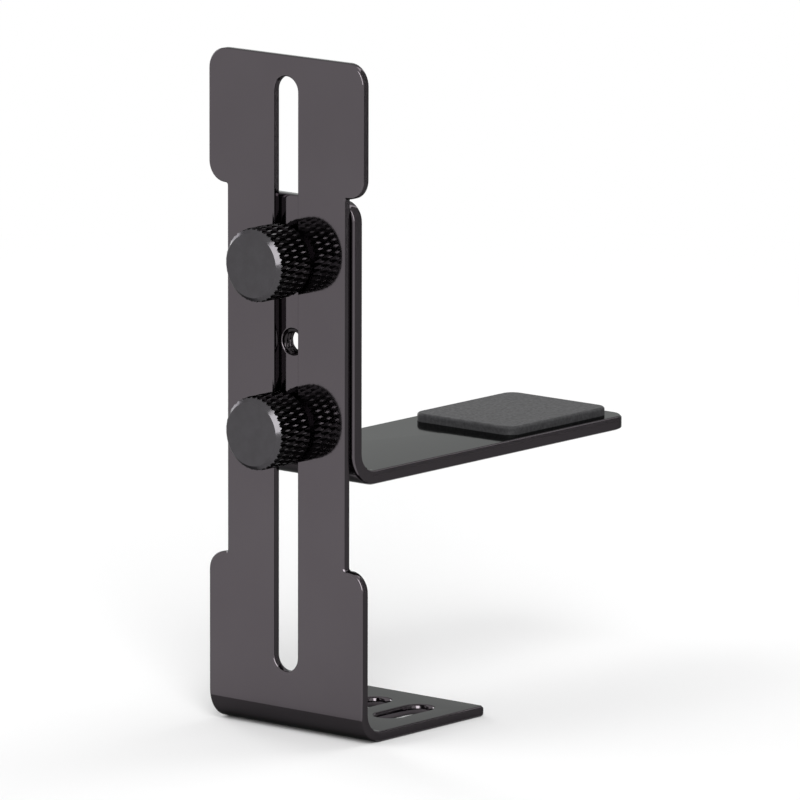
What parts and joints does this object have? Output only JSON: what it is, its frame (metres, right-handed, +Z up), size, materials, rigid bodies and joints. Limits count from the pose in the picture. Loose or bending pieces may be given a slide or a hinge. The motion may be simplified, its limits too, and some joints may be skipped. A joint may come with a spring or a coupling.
{
  "type": "graphics card support bracket",
  "caption": "Sheet-metal bracket: a slotted upright stands on a slotted foot, and a padded arm, clamped by knurled thumbscrews, slides up and down behind it to hold up a graphics card.",
  "frame": {"origin": "the middle of the centre slot in the foot, on the foot's underside", "axes": "+Z up along the upright, +Y back along the foot and the arm, +X to the right across the plate seen from the thumbscrews"},
  "size_m": [0.0278, 0.0692, 0.0946],
  "materials": {
    "plate": "smooth dark gunmetal coat with a sheen",
    "screw": "black oxide, turned face and diamond knurl",
    "pad": "matt black"
  },
  "bodies": {
    "base": {"base_plate": "plate"},
    "support": {"support_plate": "plate", "arm_pad": "pad"},
    "upper_screw": {"upper_thumbscrew": "screw"},
    "lower_screw": {"lower_thumbscrew": "screw"}
  },
  "joints": [
    {"name": "height_slide", "type": "slide", "parent": "base", "child": "support", "axis": [0, 0, 1], "range_m": [-0.03225, 0.02325]},
    {"name": "upper_screw_turn", "type": "hinge", "parent": "support", "child": "upper_screw", "pos_m": [0, -0.01635, 0.0664], "axis": [0, -1, 0], "range_deg": [0, 720]},
    {"name": "lower_screw_turn", "type": "hinge", "parent": "support", "child": "lower_screw", "pos_m": [0, -0.01635, 0.043], "axis": [0, -1, 0], "range_deg": [0, 720]}
  ]
}
